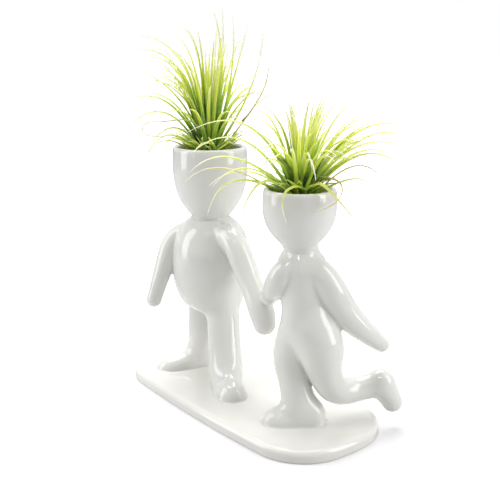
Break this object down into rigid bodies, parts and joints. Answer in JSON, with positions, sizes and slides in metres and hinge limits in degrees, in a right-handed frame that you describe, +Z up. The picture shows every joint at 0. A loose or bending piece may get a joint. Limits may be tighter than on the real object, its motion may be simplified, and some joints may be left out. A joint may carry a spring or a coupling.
{
  "type": "air plant holder",
  "caption": "Glazed ceramic pair of faceless figures holding hands on an oval plate, whose heads are open cups that each hold an air plant.",
  "frame": {"origin": "centre of the plate's underside, on the surface it stands on", "axes": "+X along the plate from the tall figure to the short one, -Y the side the tall figure faces, +Z up"},
  "size_m": [0.1815, 0.1066, 0.228],
  "materials": {
    "white_glaze": "glossy white glaze",
    "plant_stem": "matte",
    "green_leaf": "matte",
    "dry_leaf": "matte"
  },
  "bodies": {
    "holder": {"base_plate": "white_glaze", "tall_head_cup": "white_glaze", "tall_torso": "white_glaze", "tall_outer_arm": "white_glaze", "tall_inner_arm": "white_glaze", "tall_outer_leg": "white_glaze", "tall_inner_leg": "white_glaze", "short_head_cup": "white_glaze", "short_torso": "white_glaze", "short_outer_arm": "white_glaze", "short_inner_arm": "white_glaze", "short_standing_leg": "white_glaze", "short_raised_leg": "white_glaze"},
    "tall_plant": {"tall_plant_stem": "plant_stem", "tall_plant_leaves": "green_leaf", "tall_plant_dry_leaves": "dry_leaf"},
    "short_plant": {"short_plant_stem": "plant_stem", "short_plant_leaves": "green_leaf", "short_plant_dry_leaves": "dry_leaf"}
  },
  "joints": [
    {"name": "tall_plant_lift", "type": "slide", "parent": "holder", "child": "tall_plant", "axis": [0, 0, 1], "range_m": [0, 0.07]},
    {"name": "short_plant_lift", "type": "slide", "parent": "holder", "child": "short_plant", "axis": [0, 0, 1], "range_m": [0, 0.07]}
  ]
}
